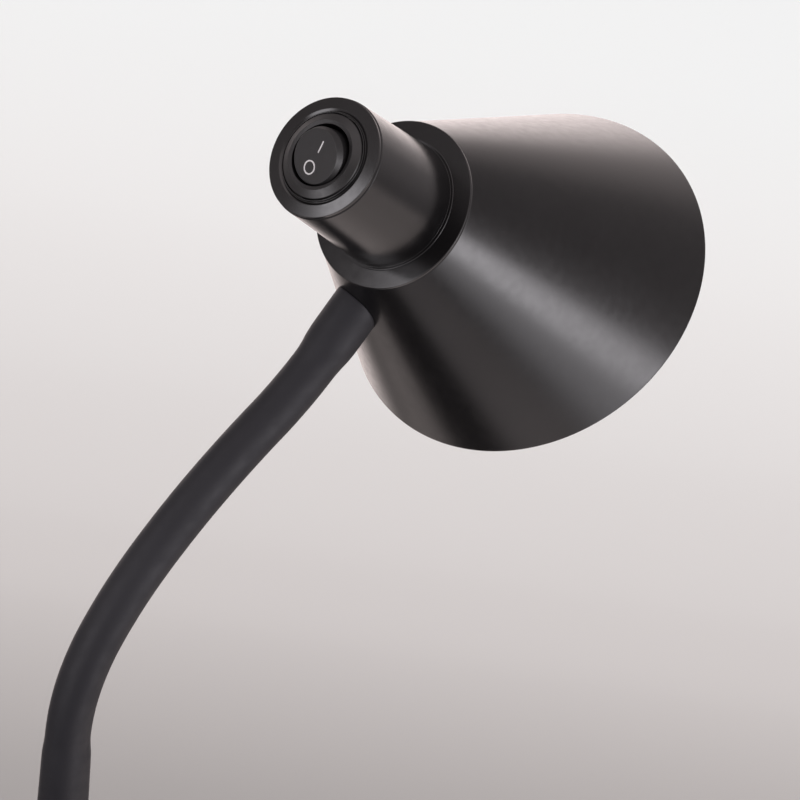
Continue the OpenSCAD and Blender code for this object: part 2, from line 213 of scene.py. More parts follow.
def lump(name, solids, body, sharp=35.0):
    """Box-like solids with small bevels, joined in one mesh. Each is (M, lo, hi, bevel)."""
    bm = bmesh.new()
    for M, lo, hi, bev in solids:
        part = bmesh.new()
        bmesh.ops.create_cube(part, size=1.0)
        c = [(lo[i] + hi[i]) / 2 for i in range(3)]
        h = [hi[i] - lo[i] for i in range(3)]
        for v in part.verts:
            v.co = Vector((c[0] + v.co.x * h[0], c[1] + v.co.y * h[1], c[2] + v.co.z * h[2]))
        if bev:
            bmesh.ops.bevel(part, geom=part.edges[:] + part.verts[:], offset=bev,
                            segments=3, profile=0.5, affect="EDGES")
        for v in part.verts:
            v.co = put(M, v.co)
        tmp = bpy.data.meshes.new("tmp")
        part.to_mesh(tmp)
        part.free()
        bm.from_mesh(tmp)
        bpy.data.meshes.remove(tmp)
    return finish_mesh(name, bm, body, sharp)


def hex_nut(bm, M, rc, bore, h, turn=0.0, seg=48):
    """Hexagon nut from l = 0 to h, both faces chamfered by a 30 degree cone."""
    def hexr(a):
        a = (a - turn) % (math.pi / 3) - math.pi / 6
        return rc * math.cos(math.pi / 6) / math.cos(a)
    ri = rc * math.cos(math.pi / 6)
    cham = (rc - ri) * math.tan(math.radians(30)) + 0.05
    def ring(l, kind):
        row = []
        for k in range(seg * 2):
            a = turn + 2 * math.pi * k / (seg * 2)
            R = hexr(a)
            if kind == "bore":
                R, z = bore, l
            elif kind == "face":
                R, z = ri - 0.15, l
            else:
                drop = 0.05 + max(0.0, R - ri + 0.15) * math.tan(math.radians(30))
                z = l + drop if kind == "lo" else l - drop
            row.append(bm.verts.new(put(M, (R * math.cos(a), R * math.sin(a), z))))
        return row
    bc = 0.35
    def plain(R, l):
        return [bm.verts.new(put(M, (R * math.cos(turn + math.pi * k / seg), R * math.sin(turn + math.pi * k / seg), l))) for k in range(seg * 2)]
    rows = [plain(bore, bc), plain(bore + bc, 0), ring(0, "face"), ring(0, "lo"), ring(h, "hi"), ring(h, "face"),
            plain(bore + bc, h), plain(bore, h - bc)]
    m = len(rows)
    for i in range(m):
        A, B = rows[i], rows[(i + 1) % m]
        for k in range(seg * 2):
            k2 = (k + 1) % (seg * 2)
            bm.faces.new((A[k], A[k2], B[k2], B[k]))


# ------------------------------------------------------------------ materials
def new_mat(name):
    m = bpy.data.materials.new(name)
    m.use_nodes = True
    nt = m.node_tree
    b = nt.nodes["Principled BSDF"]
    return m, nt, b


def link(nt, a, b):
    nt.links.new(a, b)


def noise(nt, scale, detail=2.0, rough=0.5, coords=None, dist=0.0):
    n = nt.nodes.new("ShaderNodeTexNoise")
    n.inputs["Scale"].default_value = scale
    n.inputs["Detail"].default_value = detail
    n.inputs["Roughness"].default_value = rough
    n.inputs["Distortion"].default_value = dist
    link(nt, coords, n.inputs["Vector"])
    return n


def obj_coords(nt):
    t = nt.nodes.new("ShaderNodeTexCoord")
    return t.outputs["Object"]


def ramp(nt, src, p0, p1, c0, c1):
    r = nt.nodes.new("ShaderNodeValToRGB")
    r.color_ramp.elements[0].position = p0
    r.color_ramp.elements[1].position = p1
    r.color_ramp.elements[0].color = (*c0, 1)
    r.color_ramp.elements[1].color = (*c1, 1)
    link(nt, src, r.inputs["Fac"])
    return r.outputs["Color"]


def ranged(nt, src, a, b, lo, hi):
    r = nt.nodes.new("ShaderNodeMapRange")
    r.inputs["From Min"].default_value = a
    r.inputs["From Max"].default_value = b
    r.inputs["To Min"].default_value = lo
    r.inputs["To Max"].default_value = hi
    link(nt, src, r.inputs["Value"])
    return r.outputs["Result"]


def bump(nt, height, dist, strength=1.0, normal=None):
    b = nt.nodes.new("ShaderNodeBump")
    b.inputs["Strength"].default_value = strength
    b.inputs["Distance"].default_value = dist
    link(nt, height, b.inputs["Height"])
    if normal is not None:
        link(nt, normal, b.inputs["Normal"])
    return b.outputs["Normal"]


def mat_coat(name="black_coat", rough=(0.22, 0.27), peel=6e-6, dark=(0.0030, 0.0027, 0.0030), light=(0.0048, 0.0044, 0.0048)):
    """Satin powder coat: fine orange peel, slight variation of gloss and tone."""
    m, nt, b = new_mat(name)
    c = obj_coords(nt)
    n1 = noise(nt, 55, 3, 0.6, c)
    link(nt, ramp(nt, n1.outputs["Fac"], 0.35, 0.7, dark, light), b.inputs["Base Color"])
    n2 = noise(nt, 420, 2, 0.5, c)
    link(nt, ranged(nt, n2.outputs["Fac"], 0.3, 0.7, rough[0], rough[1]), b.inputs["Roughness"])
    n3 = noise(nt, 1500, 2, 0.55, c)
    link(nt, bump(nt, n3.outputs["Fac"], peel), b.inputs["Normal"])
    return m


def mat_plastic(name, rough=(0.30, 0.38), grain=1.2e-5, scale=3200, dark=(0.004, 0.0038, 0.004), light=(0.006, 0.0057, 0.006)):
    """Moulded plastic with a spark-eroded grain."""
    m, nt, b = new_mat(name)
    c = obj_coords(nt)
    n1 = noise(nt, 120, 3, 0.6, c)
    link(nt, ramp(nt, n1.outputs["Fac"], 0.3, 0.7, dark, light), b.inputs["Base Color"])
    n2 = noise(nt, 700, 2, 0.5, c)
    link(nt, ranged(nt, n2.outputs["Fac"], 0.3, 0.7, rough[0], rough[1]), b.inputs["Roughness"])
    n3 = noise(nt, scale, 2, 0.6, c)
    link(nt, bump(nt, n3.outputs["Fac"], grain), b.inputs["Normal"])
    return m


def mat_silicone():
    m, nt, b = new_mat("silicone")
    c = obj_coords(nt)
    n1 = noise(nt, 30, 3, 0.6, c)
    base = ramp(nt, n1.outputs["Fac"], 0.3, 0.75, (0.0106, 0.0104, 0.0132), (0.0149, 0.0147, 0.0178))
    # sparse dust specks
    v = nt.nodes.new("ShaderNodeTexVoronoi")
    v.inputs["Scale"].default_value = 420
    link(nt, c, v.inputs["Vector"])
    speck = ranged(nt, v.outputs["Distance"], 0.03, 0.09, 1.0, 0.0)
    pick = ranged(nt, v.outputs["Color"], 0.90, 0.96, 0.0, 0.5)
    mul = nt.nodes.new("ShaderNodeMath")
    mul.operation = "MULTIPLY"
    link(nt, speck, mul.inputs[0])
    link(nt, pick, mul.inputs[1])
    mix = nt.nodes.new("ShaderNodeMix")
    mix.data_type = "RGBA"
    link(nt, mul.outputs[0], mix.inputs["Factor"])
    link(nt, base, mix.inputs["A"])
    mix.inputs["B"].default_value = (0.035, 0.034, 0.034, 1)
    link(nt, mix.outputs["Result"], b.inputs["Base Color"])
    n2 = noise(nt, 260, 3, 0.5, c)
    link(nt, ranged(nt, n2.outputs["Fac"], 0.3, 0.7, 0.52, 0.62), b.inputs["Roughness"])
    n3 = noise(nt, 900, 3, 0.6, c)
    link(nt, bump(nt, n3.outputs["Fac"], 2.0e-5), b.inputs["Normal"])
    b.inputs["Specular IOR Level"].default_value = 0.27
    b.inputs["Sheen Weight"].default_value = 0.012
    b.inputs["Sheen Roughness"].default_value = 0.4
    return m


def mat_metal(name, dark, light, rough=(0.25, 0.4), brush=0.0, scale=250):
    m, nt, b = new_mat(name)
    c = obj_coords(nt)
    n1 = noise(nt, scale, 4, 0.6, c)
    link(nt, ramp(nt, n1.outputs["Fac"], 0.3, 0.7, dark, light), b.inputs["Base Color"])
    link(nt, ranged(nt, n1.outputs["Fac"], 0.3, 0.7, rough[0], rough[1]), b.inputs["Roughness"])
    b.inputs["Metallic"].default_value = 1.0
    n3 = noise(nt, 1400, 3, 0.6, c)
    link(nt, bump(nt, n3.outputs["Fac"], 4e-6 + brush), b.inputs["Normal"])
    return m


def mat_matte(name, dark, light, rough=(0.5, 0.65), grain=2e-5, scale=1100, n1scale=90):
    m, nt, b = new_mat(name)
    c = obj_coords(nt)
    n1 = noise(nt, n1scale, 4, 0.6, c)
    link(nt, ramp(nt, n1.outputs["Fac"], 0.3, 0.7, dark, light), b.inputs["Base Color"])
    link(nt, ranged(nt, n1.outputs["Fac"], 0.3, 0.7, rough[0], rough[1]), b.inputs["Roughness"])
    n3 = noise(nt, scale, 3, 0.6, c)
    link(nt, bump(nt, n3.outputs["Fac"], grain), b.inputs["Normal"])
    return m


def mat_foam():
    m, nt, b = new_mat("foam")
    c = obj_coords(nt)
    v = nt.nodes.new("ShaderNodeTexVoronoi")
    v.inputs["Scale"].default_value = 1500
    link(nt, c, v.inputs["Vector"])
    link(nt, ramp(nt, v.outputs["Distance"], 0.1, 0.7, (0.012, 0.012, 0.012), (0.03, 0.03, 0.03)), b.inputs["Base Color"])
    link(nt, ranged(nt, v.outputs["Distance"], 0.0, 0.7, 0.9, 0.8), b.inputs["Roughness"])
    link(nt, bump(nt, v.outputs["Distance"], 1.5e-4), b.inputs["Normal"])
    return m


def mat_opal():
    m, nt, b = new_mat("opal")
    c = obj_coords(nt)
    n1 = noise(nt, 60, 3, 0.6, c)
    link(nt, ramp(nt, n1.outputs["Fac"], 0.3, 0.7, (0.80, 0.79, 0.75), (0.84, 0.83, 0.80)), b.inputs["Base Color"])
    link(nt, ranged(nt, n1.outputs["Fac"], 0.3, 0.7, 0.30, 0.38), b.inputs["Roughness"])
    n3 = noise(nt, 2200, 2, 0.5, c)
    link(nt, bump(nt, n3.outputs["Fac"], 3e-6), b.inputs["Normal"])
    b.inputs["Subsurface Weight"].default_value = 0.35
    b.inputs["Subsurface Radius"].default_value = (0.006, 0.005, 0.004)
    b.inputs["Subsurface Scale"].default_value = 1.0
    return m


M_COAT = mat_coat()
M_FLANGE = mat_coat("flange_coat", rough=(0.16, 0.20))
M_CAP = mat_plastic("black_cap", rough=(0.17, 0.21), grain=2.5e-6, scale=4500)
M_SWITCH = mat_plastic("switch_plastic", rough=(0.34, 0.42), grain=1.4e-5, scale=3600)
M_ROCKER = mat_plastic("rocker_plastic", rough=(0.40, 0.48), grain=2.6e-5, scale=3000,
                       dark=(0.0045, 0.0043, 0.0046), light=(0.0075, 0.0072, 0.0076))
M_SILICONE = mat_silicone()
M_WHITE_IN = mat_matte("shade_white", (0.70, 0.69, 0.66), (0.75, 0.74, 0.71), rough=(0.42, 0.52), grain=1.6e-5, scale=1300, n1scale=25)
M_MARK = mat_matte("mark_white", (0.46, 0.46, 0.46), (0.60, 0.60, 0.60), rough=(0.5, 0.6), grain=0.8e-5, scale=3000, n1scale=900)
M_FOAM = mat_foam()
M_ZINC = mat_metal("plated_steel", (0.50, 0.50, 0.50), (0.62, 0.62, 0.63))
M_SPIRAL = mat_metal("spiral_steel", (0.36, 0.36, 0.37), (0.50, 0.50, 0.52), rough=(0.35, 0.5))
M_TURNED = mat_metal("turned_steel", (0.48, 0.48, 0.49), (0.60, 0.60, 0.61))
M_IRON = mat_matte("raw_iron", (0.03, 0.029, 0.028), (0.075, 0.07, 0.065), rough=(0.65, 0.85), grain=2.5e-4, scale=500)
M_PLATE = mat_metal("plate_steel", (0.22, 0.22, 0.23), (0.32, 0.32, 0.33), rough=(0.35, 0.5))
M_BRASS = mat_metal("brass", (0.62, 0.43, 0.17), (0.74, 0.55, 0.26))
M_PHENOLIC = mat_matte("phenolic", (0.010, 0.0095, 0.009), (0.016, 0.015, 0.0145), rough=(0.38, 0.5), grain=1.5e-5)
M_STEATITE = mat_matte("steatite", (0.66, 0.61, 0.50), (0.74, 0.70, 0.61), rough=(0.6, 0.75), grain=4e-5)
M_BUSH = mat_matte("bush_nylon", (0.008, 0.008, 0.008), (0.013, 0.013, 0.013), rough=(0.42, 0.55), grain=2e-5)
M_WIRE = mat_matte("wire_pvc", (0.09, 0.006, 0.004), (0.14, 0.012, 0.008), rough=(0.35, 0.45), grain=1e-5)
M_ACETAL = mat_matte("acetal", (0.66, 0.66, 0.62), (0.74, 0.74, 0.70), rough=(0.3, 0.4), grain=1e-5)
M_BULBSTEEL = mat_metal("bulb_steel", (0.60, 0.60, 0.61), (0.72, 0.72, 0.73), rough=(0.15, 0.28))
M_GLASSBLACK = mat_matte("bulb_glass_black", (0.008, 0.008, 0.010), (0.014, 0.014, 0.016), rough=(0.12, 0.2), grain=5e-6)
M_BULBWHITE = mat_matte("bulb_white", (0.68, 0.68, 0.65), (0.74, 0.74, 0.72), rough=(0.35, 0.45), grain=8e-6)
M_LED = mat_matte("led_board", (0.70, 0.70, 0.66), (0.80, 0.80, 0.76), rough=(0.5, 0.6), grain=1e-5)
M_OPAL = mat_opal()

BY_SLOT = {
    "black_coat": M_COAT, "black_cap": M_CAP, "switch_plastic": M_SWITCH, "rocker_plastic": M_ROCKER,
    "silicone": M_SILICONE, "foam": M_FOAM, "plated_steel": M_ZINC, "spiral_steel": M_SPIRAL,
    "turned_steel": M_TURNED, "raw_iron": M_IRON, "plate_steel": M_PLATE, "brass": M_BRASS,
    "phenolic": M_PHENOLIC, "steatite": M_STEATITE, "bush_nylon": M_BUSH, "wire_pvc": M_WIRE,
    "acetal": M_ACETAL, "bulb_steel": M_BULBSTEEL, "bulb_glass_black": M_GLASSBLACK,
    "bulb_white": M_BULBWHITE, "led_board": M_LED, "opal": M_OPAL}

# every CAD node that stays gets its slot's material
SLOT_OF = {s["node"]: s["material_slot"] for s in frame["record"]["subparts"]}
for n, o in NODES.items():
    o.data.materials.clear()
    o.data.materials.append(BY_SLOT[SLOT_OF[n]])


def dress(ob, slot, *replaced, mats=None):
    ob.data.materials.clear()
    for m in (mats or [BY_SLOT[slot]]):
        ob.data.materials.append(m)
    if replaced:
        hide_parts(*replaced)
    return ob


# ------------------------------------------------------------------ base
BASE_R, BASE_H, COVER_T = 80.0, 17.0, 1.2

dress(lathe("foot_ring", corners([(60, 0, .5), (74, 0, .5), (74, 2.5, .3), (60, 2.5, .3)], n=4), WORLD, "base", 180),
      "foam", "foot_pad")

cover = lathe("base_shell", corners([
    (5.05, BASE_H, .3), (BASE_R, BASE_H, 5.0), (BASE_R, 1.5, .45), (BASE_R - COVER_T, 1.5, .45),
    (BASE_R - COVER_T, BASE_H - COVER_T, 3.8), (5.05, BASE_H - COVER_T, .2)], n=10), WORLD, "base", 256)
back = Matrix.Translation(Vector((-BASE_R, 0, 8.5)) * MM) @ Matrix.Rotation(math.radians(90), 4, "Y")
cover.parent = None
cut_with(cover, [cutter(back, 4.6, -3, 6)])
cover.data.set_sharp_from_angle(angle=math.radians(40))
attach(cover, "base")
dress(cover, "black_coat", "base_cover")

dress(lathe("inlet_bush", corners([
    (3.2, -2, .5), (5.4, -2, .7), (6.2, -1.0, .35), (6.2, -0.12, .15), (4.5, -0.12, .05), (4.5, 5.0, .4), (3.2, 5.0, .4)], n=6),
    back, "base", 72), "bush_nylon", "cord_inlet_bush")

dress(lathe("stem_foot_collar", corners([
    (5.1, BASE_H), (11, BASE_H, .1), (11, BASE_H + 3, 1.0), (5.1, BASE_H + 3, .2)], n=8), WORLD, "base", 128),
    "black_coat", "stem_collar")

dress(lathe("stem", corners([
    (5.85, 20), (7, 20, .25), (7, 205, .35), (5.85, 205, .2)], n=5), WORLD, "base", 96),
    "black_coat", "stem_tube")

# ------------------------------------------------------------------ gooseneck
NECK_Z = 233.0
A = [math.radians(v) for v in (90, 70, 56, 45, 39, 40, 48.6)]
BP = {1: Vector((0, 0, NECK_Z + 10))}
for k in range(2, 7):
    BP[k] = BP[k - 1] + 24 * Vector((math.cos(A[k - 1]), 0, math.sin(A[k - 1])))

S_NODES = [0, 12, 36, 60, 84, 108, 132]
SLOPES = [90, 81, 60, 48, 41, 35, 48.6]
S_END = 132 + 14.55


def centreline(step=0.25):
    """Points and slopes along the neck, from the sleeve's foot to the shade's wall."""
    ss, pts, sl = [], [], []
    s = -28.0
    while s < 0:
        ss.append(s); pts.append((0.0, NECK_Z + s)); sl.append(math.pi / 2)
        s += step
    x, z, s = 0.0, NECK_Z, 0.0
    while s <= S_END + 1e-9:
        a = math.radians(np.interp(min(s, 132), S_NODES, SLOPES))
        ss.append(s); pts.append((x, z)); sl.append(a)
        a2 = math.radians(np.interp(min(s + step / 2, 132), S_NODES, SLOPES))
        x += step * math.cos(a2); z += step * math.sin(a2)
        s += step
    return np.array(ss), np.array(pts), np.array(sl)


CS, CP, CA = centreline()
# the last straight run is laid exactly on the fitting's axis, and what lies before is eased onto it
fit0 = HEAD @ (Vector((0, 0, FIT_L)) * MM)
end_target = np.array([(fit0 + HE * cone_r(FIT_L) * MM).x, (fit0 + HE * cone_r(FIT_L) * MM).z]) / MM
end_now = np.array([np.interp(S_END, CS, CP[:, 0]), np.interp(S_END, CS, CP[:, 1])])
shift = end_target - end_now
print("neck end shift mm", shift)
w_shift = np.clip(CS / 132.0, 0, 1) ** 2 * (3 - 2 * np.clip(CS / 132.0, 0, 1))
CP = CP + w_shift[:, None] * shift[None, :]


def along(s):
    return Vector((float(np.interp(s, CS, CP[:, 0])), 0, float(np.interp(s, CS, CP[:, 1])))), float(np.interp(s, CS, CA))


R_S = [-28, -27.4, -23, -18.3, -13.65, -9.1, -4.5, -2.2, 0.4, 3, 100, S_END - 17.5, S_END - 15.2, S_END - 13, S_END - 10, S_END - 6, S_END + 1]
R_R = [7.0, 7.06, 7.05, 6.955, 6.87, 6.81, 6.69, 6.47, 6.24, 6.2, 6.2, 6.2, 6.42, 6.74, 6.93, 6.95, 6.95]
RS_F = np.arange(-28, S_END + 1, 0.25)
RR_F = np.interp(RS_F, R_S, R_R)
ker = np.exp(-0.5 * (np.arange(-6, 7) / 2.6) ** 2); ker /= ker.sum()
RR_F = np.convolve(np.pad(RR_F, 6, mode="edge"), ker, mode="valid")


def sleeve_r(s):
    return float(np.interp(s, RS_F, RR_F))


def sleeve_piece(name, s0, s1, seg=96):
    """Closed tube along the neck from s0 to s1. The last piece ends on the shade's wall."""
    bm = bmesh.new()
    n = max(2, int(round((s1 - s0) / 0.8)))
    ss = [s0 + (s1 - s0) * i / n for i in range(n + 1)]
    last = s1 > S_END - 1
    first = s0 < -27.9

    def ring(s, r, on_cone=None):
        c, a = along(s)
        t = Vector((math.cos(a), 0, math.sin(a)))
        nrm = Vector((-math.sin(a), 0, math.cos(a)))
        row = []
        for k in range(seg):
            w = 2 * math.pi * k / seg
            p = c + nrm * (r * math.cos(w)) + Vector((0, 1, 0)) * (r * math.sin(w))
            if last and s > S_END - 9.5:
                # shear the last rings so that the end lies on the cone
                q = HEAD.inverted() @ (p * MM) / MM
                hit = math.sqrt(max(cone_r(q.z) ** 2 - q.y ** 2, 0)) + 0.04
                base = cone_r(FIT_L) + 0.04
                f = (s - (S_END - 9.5)) / 9.5
                f = f * f * (3 - 2 * f)
                q.x += (hit - base) * f
                p = (HEAD @ (q * MM)) / MM
            row.append(bm.verts.new(p * MM))
        return row

    outer = [ring(s, sleeve_r(s)) for s in ss]
    if last:   # small rounding at the end that sits on the shade
        outer[-1:] = [ring(S_END - 0.35, sleeve_r(S_END) ), ring(S_END - 0.1, sleeve_r(S_END) - 0.1), ring(S_END - 0.0, sleeve_r(S_END) - 0.32)]
    if first:  # rounding at the foot
        outer[:1] = [ring(-28 + 0.0, 6.72), ring(-28 + 0.1, 6.92), ring(-28 + 0.34, 7.03)]
    inner = [ring(s, 5.9 if s > S_END - 12 else (5.75 if s > -1 else min(6.15, 5.75 - (s + 1) * 0.02))) for s in ss]
    rows = outer + inner[::-1]
    m = len(rows)
    for i in range(m):
        A_, B_ = rows[i], rows[(i + 1) % m]
        for k in range(seg):
            k2 = (k + 1) % seg
            bm.faces.new((A_[k], A_[k2], B_[k2], B_[k]))
    return finish_mesh(name, bm, None, 50.0)


def nearest_s(p):
    d = (CP[:, 0] - p.x) ** 2 + (CP[:, 1] - p.z) ** 2
    return float(CS[int(np.argmin(d))])


seams = [nearest_s(BP[k] + 12 * Vector((math.cos(A[k]), 0, math.sin(A[k])))) for k in range(1, 6)]
cuts = [-28.0] + seams + [S_END]
covers = [("neck_sleeve_1",), ("neck_sleeve_2",), ("neck_sleeve_3",), ("neck_sleeve_4",), ("neck_sleeve_5",),
          ("neck_sleeve_6", "neck_sleeve_7")]
for k in range(1, 7):
    piece = sleeve_piece(f"sleeve_{k}", cuts[k - 1], cuts[k])
    dress(piece, "silicone", *covers[k - 1])
    mid = (A[k - 1] + A[k]) / 2
    t = Vector((math.cos(mid), 0, math.sin(mid)))
    half = 10.6
    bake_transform(piece)

# the steel spiral inside the sleeve: one wound tube, parted at the sleeve's seams
SPIRAL_END = S_END - 6.5


def spiral_piece(name, s0, s1, seg=40):
    bm = bmesh.new()
    n = max(2, int(round((s1 - s0) / 0.36)))
    rows = []
    for i in range(n + 1):
        s = s0 + (s1 - s0) * i / n
        c, a = along(s)
        nrm = Vector((-math.sin(a), 0, math.cos(a)))
        row = []
        for k in range(seg):
            w = 2 * math.pi * k / seg
            u = (s / 2.2 + k / seg) % 1.0
            r = 4.40 + 0.26 * math.sqrt(max(0.0, 1 - (2 * u - 1) ** 2))
            row.append(bm.verts.new((c + nrm * (r * math.cos(w)) + Vector((0, 1, 0)) * (r * math.sin(w))) * MM))
        rows.append(row)
    m = 16
    for i in range(m + 1):
        c, a = along(s1 + (s0 - s1) * i / m)
        nrm = Vector((-math.sin(a), 0, math.cos(a)))
        rows.append([bm.verts.new((c + nrm * (3.0 * math.cos(2 * math.pi * k / seg)) + Vector((0, 1, 0)) * (3.0 * math.sin(2 * math.pi * k / seg))) * MM)
                     for k in range(seg)])
    for i in range(len(rows)):
        A_, B_ = rows[i], rows[(i + 1) % len(rows)]
        for k in range(seg):
            k2 = (k + 1) % seg
            bm.faces.new((A_[k], A_[k2], B_[k2], B_[k]))
    return finish_mesh(name, bm, None, 50.0)


wound = [("neck_spiral_1",), ("neck_spiral_2",), ("neck_spiral_3",), ("neck_spiral_4",), ("neck_spiral_5",),
         ("neck_spiral_6", "neck_spiral_7")]
for k in range(1, 7):
    piece = spiral_piece(f"spiral_{k}", -14.0 if k == 1 else cuts[k - 1], SPIRAL_END if k == 6 else cuts[k])
    dress(piece, "spiral_steel", *wound[k - 1])
    mid = (A[k - 1] + A[k]) / 2
    t = Vector((math.cos(mid), 0, math.sin(mid)))
    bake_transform(piece)

# ------------------------------------------------------------------ shade
def shade_mesh(name, body, seg=288):
    bm = bmesh.new()
    sa, ca = math.sin(MOUTH_A), math.cos(MOUTH_A)

    def mouth(phi, off):
        """Point of the wall's surface, moved inward by off, on the mouth's plane."""
        c = math.cos(phi)
        o = off / COS
        # x' sin a + (L - M) cos a = 0 with x' = ((L - APEX) TAN - o) cos phi
        L = (MOUTH_L * ca + (APEX * TAN + o) * c * sa) / (ca + TAN * c * sa)
        return cone_r(L) - o, L

    sections = []
    for k in range(seg):
        phi = 2 * math.pi * k / seg
        Ro, Lo = mouth(phi, 0.0)
        Ri, Li = mouth(phi, SHADE_T)
        out = corners([(14.6, WALL_L, .1), (cone_r(WALL_L), WALL_L, .25), (Ro, Lo, .42), (Ri, Li, .42),
                       (cone_r(SEAT_L + 0.9) - SHADE_T / COS, SEAT_L + 0.9, 1.0), (22.0, SEAT_L, .4), (14.6, SEAT_L, .1)], n=6)
        sections.append((phi, out))
    m = len(sections[0][1])
    assert all(len(s[1]) == m for s in sections)
    # split the long straight runs so that quads stay short
    base = sections[0][1]
    longs = [i for i in range(m) if math.hypot(base[i][0] - base[(i + 1) % m][0], base[i][1] - base[(i + 1) % m][1]) > 20]
    grid = []
    for phi, out in sections:
        row = []
        for i in range(m):
            a, b = out[i], out[(i + 1) % m]
            row.append(a)
            if i in longs:
                for j in range(1, 24):
                    row.append((a[0] + (b[0] - a[0]) * j / 24, a[1] + (b[1] - a[1]) * j / 24))
        grid.append([bm.verts.new(put(HEAD, (r * math.cos(phi), r * math.sin(phi), l))) for r, l in row])
    n = len(grid[0])
    # faces from the rim's inner edge inward are white paint
    ref = sections[0][1]
    Ro, Lo = mouth(0, 0); Ri, Li = mouth(0, SHADE_T)
    full = []
    for i in range(m):
        full.append(ref[i])
        if i in longs:
            a, b = ref[i], ref[(i + 1) % m]
            for j in range(1, 24):
                full.append((a[0] + (b[0] - a[0]) * j / 24, a[1] + (b[1] - a[1]) * j / 24))
    # index of the rim's inner corner: the point closest to (Ri, Li)
    start_in = min(range(n), key=lambda i: math.hypot(full[i][0] - Ri, full[i][1] - Li)) + 1
    end_in = max(i for i in range(n) if full[i][1] >= SEAT_L - 0.01)
    for k in range(seg):
        G, H = grid[k], grid[(k + 1) % seg]
        for i in range(n):
            i2 = (i + 1) % n
            f = bm.faces.new((G[i], G[i2], H[i2], H[i]))
            f.material_index = 1 if start_in <= i <= end_in else 0
    return finish_mesh(name, bm, body, 50.0)


shade = shade_mesh("shade_cone", None)
fit = HEAD @ Matrix.Translation(Vector((0, 0, FIT_L)) * MM) @ Matrix.Rotation(math.radians(90), 4, "Y")
shade.data.materials.append(M_COAT)
shade.data.materials.append(M_WHITE_IN)
stud = [HEAD @ Matrix.Rotation(math.radians(a), 4, "Z") @ Matrix.Translation(Vector((18.5, 0, 0)) * MM) for a in (60, 180, 300)]
cut_with(shade, [cutter(fit, 5.15, 15, 45)] + [cutter(s, 1.6, 30, 42, 32) for s in stud])
shade.data.set_sharp_from_angle(angle=math.radians(50))
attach(shade, "head")
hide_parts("shade")

# ------------------------------------------------------------------ flange and housing
F0 = FLANGE_L
bm = bmesh.new()
lathe_bm(bm, corners([(14.6, F0 - 0.15), (18.0, F0 - 0.15), (23.2, F0 + 0.12, .28), (23.2, WALL_L, .15), (14.6, WALL_L, .1)], n=8, support=0.05), HEAD, 256)
for s in stud:
    lathe_bm(bm, corners([(0, WALL_L - 0.05), (1.5, WALL_L - 0.05), (1.5, WALL_L + 6.5, .4), (0, WALL_L + 6.5)], closed=False, n=4), s, 32, closed=False)
fl = finish_mesh("flange_ring", bm, "head", 40.0)
dress(fl, "black_coat", "flange", mats=[M_FLANGE])

# conical tube with a low rim round its foot
prof_tube = corners([
    (14.9, 1.02), (16.14, 1.02, .05), (16.34, 1.22, .05), (17.5, FLANGE_L - 0.56, .1), (18.4, FLANGE_L - 0.6, .22),
    (18.4, FLANGE_L), (14.9, FLANGE_L)], n=8, support=0.08)
dress(lathe("housing", prof_tube, HEAD, "head", 256, sharp=60), "black_coat", "housing_tube")

dress(lathe("cap_ring", corners([
    (10.05, 0.9), (11.72, 0.9), (11.72, -0.75, .1), (12.0, -0.75, .1), (12.1, -0.08, .12), (12.3, -0.08, .12),
    (12.95, -0.45, .09), (16.1, -0.01, .16), (16.1, 1.0, .05), (14.85, 1.0), (14.85, 7, .2), (13.4, 7, .2),
    (13.4, 2.4, .1), (10.05, 2.4, .1)], n=6, support=0.06), HEAD, "head", 256), "black_cap", "end_cap")

# ------------------------------------------------------------------ switch
bezel_prof = corners([
    (8.38, -1.75, .1), (9.42, -2.0, .14), (11.32, -0.95, .12), (11.5, -0.65, .1), (11.5, 0.9, .05), (9.9, 0.9), (9.9, 14, .3), (3.0, 14), (3.0, 12.8),
    (8.35, 12.8)], n=6, support=0.06)
bm = bmesh.new()
lathe_bm(bm, bezel_prof, HEAD, 192)
bez = finish_mesh("switch_bezel", bm, "head", 45.0)
dress(bez, "switch_plastic", "switch_body")

# rocker: turned to the O position about its pivot
FACE = -3.85
ROCK_A = math.radians(11)
ROCK = HEAD @ Matrix.Translation(Vector((0, 0, 0.6)) * MM) @ Matrix.Rotation(-ROCK_A, 4, "Y")


# its face is a plane 6 degrees steeper than the button's own tilt, and the wall widens below it
FACE_X, FACE_R, FACE_SLOPE = 0.245, 7.1, math.tan(math.radians(6.1))


def face_z(x):
    return FACE + (x - FACE_X) * FACE_SLOPE


bm = bmesh.new()
SEG_R = 160
rows = [[bm.verts.new(put(ROCK, (FACE_X, 0, FACE)))]]
turns = [2 * math.pi * k / SEG_R for k in range(SEG_R)]
for rho, dz in ((1.4, 0), (2.8, 0), (4.2, 0), (5.6, 0), (6.6, 0), (6.9, 0), (6.98, 0), (7.03, 0.015), (7.07, 0.05), (7.1, 0.12)):
    rows.append([bm.verts.new(put(ROCK, (FACE_X + rho * math.cos(a), rho * math.sin(a), face_z(FACE_X + rho * math.cos(a)) + dz))) for a in turns])
for t in (0.07, 0.35, 0.65, 0.93, 1.0):
    row = []
    for a in turns:
        x0, y0 = FACE_X + FACE_R * math.cos(a), FACE_R * math.sin(a)
        z0 = face_z(x0) + 0.12
        x1, y1, z1 = 7.55 * math.cos(a), 7.85 * math.sin(a), -2.6
        row.append(bm.verts.new(put(ROCK, (x0 + (x1 - x0) * t, y0 + (y1 - y0) * t, z0 + (z1 - z0) * t))))
    rows.append(row)
for inset, z in ((0.0, -2.4), (0.0, -0.6), (0.0, 1.2), (0.0, 2.3), (0.09, 2.51), (0.3, 2.6)):
    rows.append([bm.verts.new(put(ROCK, ((7.55 - inset) * math.cos(a), (7.85 - inset) * math.sin(a), z))) for a in turns])
